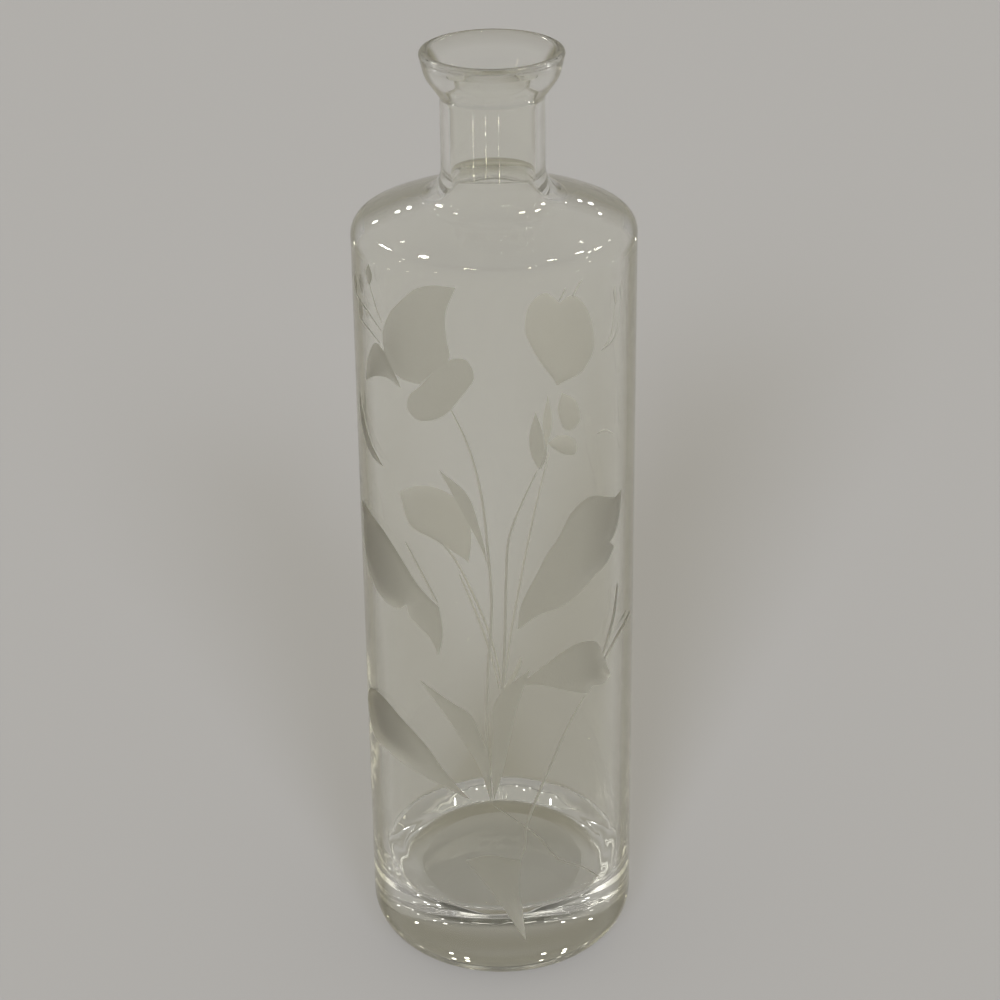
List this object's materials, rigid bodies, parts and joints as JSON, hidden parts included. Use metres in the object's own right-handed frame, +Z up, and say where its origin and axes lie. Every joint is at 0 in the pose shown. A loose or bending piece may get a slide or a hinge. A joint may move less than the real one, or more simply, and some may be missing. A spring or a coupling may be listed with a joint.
{
  "type": "glass decanter",
  "caption": "Tall round clear glass decanter with a thick foot, domed shoulder, short neck and flared cup lip, wheel-cut with a frosted floral spray; holds and pours drinks.",
  "frame": {"origin": "centre of the flat standing face, on the table", "axes": "+Z up along the axis of the bottle to the mouth, -Y towards the side with the main flower and leaves"},
  "size_m": [0.08, 0.08, 0.282],
  "materials": {
    "clear_glass": "fire-polished clear, with a grey wheel-cut spray on the barrel",
    "foot_glass": "fire-polished clear, straw-tinted by its thickness, flat-ground standing face"
  },
  "bodies": {
    "root": {"base": "foot_glass", "barrel": "clear_glass", "shoulder": "clear_glass", "neck": "clear_glass", "lip": "clear_glass"}
  },
  "joints": []
}
